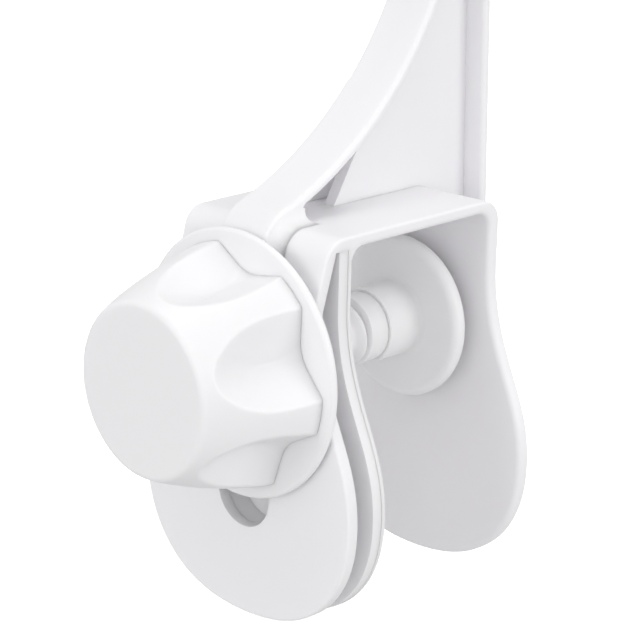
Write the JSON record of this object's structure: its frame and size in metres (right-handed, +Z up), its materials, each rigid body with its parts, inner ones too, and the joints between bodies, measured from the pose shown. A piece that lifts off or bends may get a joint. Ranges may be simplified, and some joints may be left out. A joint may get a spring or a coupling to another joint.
{
  "type": "rail screw clamp with arm",
  "caption": "White moulded rail clamp with a fluted screw knob, a swivel pressure pad and a curved I-section arm that rises to a round socket for the head it carries.",
  "frame": {"origin": "middle of the bridge's underside, the seat that rests on the rail, halfway between the jaws", "axes": "+Z up through the bridge, +X along the screw from the knob to the rear jaw, +Y across the clamp"},
  "size_m": [0.0906, 0.0562, 0.1647],
  "materials": {
    "white_body": "satin",
    "white_knob": "satin",
    "white_screw": "satin",
    "steel": "zinc plated"
  },
  "bodies": {
    "clamp": {"clamp_frame": "white_body", "thread_plate": "white_body", "arm": "white_body"},
    "pad": {"pressure_pad": "white_screw"},
    "screw": {"clamp_screw": "white_screw", "knob_base": "white_knob", "knob_shell": "white_knob", "knob_screw": "steel", "pad_washer": "steel", "pad_screw": "steel"}
  },
  "joints": [
    {"name": "pad_travel", "type": "slide", "parent": "clamp", "child": "pad", "axis": [1, 0, 0], "range_m": [-0.0155, 0]},
    {"name": "knob_turn", "type": "hinge", "parent": "pad", "child": "screw", "pos_m": [0, 0, -0.0237], "axis": [1, 0, 0], "range_deg": [-1395, 0]}
  ],
  "couplings": [
    {"joint": "pad_travel", "follows": "knob_turn", "m_per_rad": 0.00063661}
  ]
}
